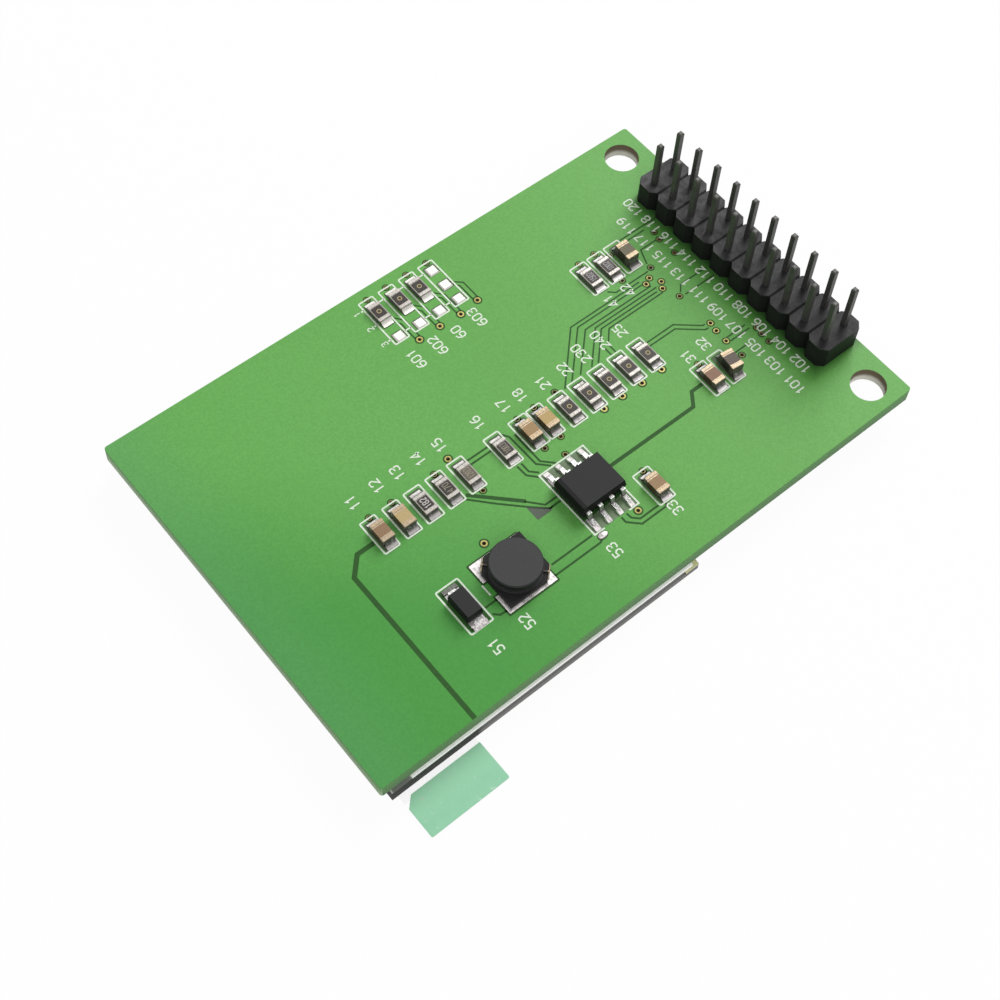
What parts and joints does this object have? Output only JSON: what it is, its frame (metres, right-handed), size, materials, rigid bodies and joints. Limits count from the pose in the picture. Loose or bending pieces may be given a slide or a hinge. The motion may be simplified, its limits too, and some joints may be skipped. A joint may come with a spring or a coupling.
{
  "type": "display module",
  "caption": "Small rectangular display module: glass panel under a green circuit board with a black double-row pin header and two mounting holes.",
  "frame": {"origin": "on the face of the display's protective film, below the centre of the board outline", "axes": "+X from the display end to the header end, +Y to the long edge away from the pull tab, +Z from the display face to the component side"},
  "size_m": [0.06, 0.0438, 0.0115],
  "materials": {
    "solder_mask": "green solder mask over a glass-fibre board",
    "header_plastic": "black moulded plastic",
    "pin_metal": "dark plated square wire",
    "solder": "bright tin solder",
    "panel_glass": "dark backed display glass",
    "polarizer": "dark polarizer sheet",
    "foam_tape": "white foam tape",
    "clear_film": "clear protective film",
    "green_film": "translucent green tab",
    "flex_film": "amber flexible circuit",
    "driver_silicon": "bare silicon die",
    "resistor_ceramic": "dark glazed top on white ceramic, tinned caps",
    "capacitor_ceramic": "tan ceramic with tinned caps",
    "package_plastic": "black moulded package",
    "tinned_lead": "tinned copper lead",
    "ferrite": "dark grey ferrite",
    "copper_wire": "enamelled copper wire"
  },
  "bodies": {
    "root": {"pcb": "solder_mask", "header_housing": "header_plastic", "header_pin_01": "pin_metal", "header_pin_02": "pin_metal", "header_pin_03": "pin_metal", "header_pin_04": "pin_metal", "header_pin_05": "pin_metal", "header_pin_06": "pin_metal", "header_pin_07": "pin_metal", "header_pin_08": "pin_metal", "header_pin_09": "pin_metal", "header_pin_10": "pin_metal", "header_pin_11": "pin_metal", "header_pin_12": "pin_metal", "header_pin_13": "pin_metal", "header_pin_14": "pin_metal", "header_pin_15": "pin_metal", "header_pin_16": "pin_metal", "header_pin_17": "pin_metal", "header_pin_18": "pin_metal", "header_pin_19": "pin_metal", "header_pin_20": "pin_metal", "header_solder": "solder", "front_glass": "panel_glass", "cap_glass": "panel_glass", "polarizer": "polarizer", "mounting_tape": "foam_tape", "protective_film": "clear_film", "pull_tab": "green_film", "flex_circuit": "flex_film", "driver_chip": "driver_silicon", "resistor_01": "resistor_ceramic", "resistor_02": "resistor_ceramic", "resistor_03": "resistor_ceramic", "resistor_04": "resistor_ceramic", "resistor_05": "resistor_ceramic", "resistor_06": "resistor_ceramic", "resistor_07": "resistor_ceramic", "resistor_08": "resistor_ceramic", "resistor_09": "resistor_ceramic", "resistor_10": "resistor_ceramic", "resistor_11": "resistor_ceramic", "resistor_12": "resistor_ceramic", "resistor_13": "resistor_ceramic", "resistor_14": "resistor_ceramic", "capacitor_01": "capacitor_ceramic", "capacitor_02": "capacitor_ceramic", "capacitor_03": "capacitor_ceramic", "capacitor_04": "capacitor_ceramic", "capacitor_05": "capacitor_ceramic", "capacitor_06": "capacitor_ceramic", "capacitor_07": "capacitor_ceramic", "capacitor_08": "capacitor_ceramic", "regulator_body": "package_plastic", "regulator_leads": "tinned_lead", "inductor_core": "ferrite", "inductor_winding": "copper_wire", "diode_body": "package_plastic", "diode_leads": "tinned_lead", "chip_solder": "solder"}
  },
  "joints": []
}
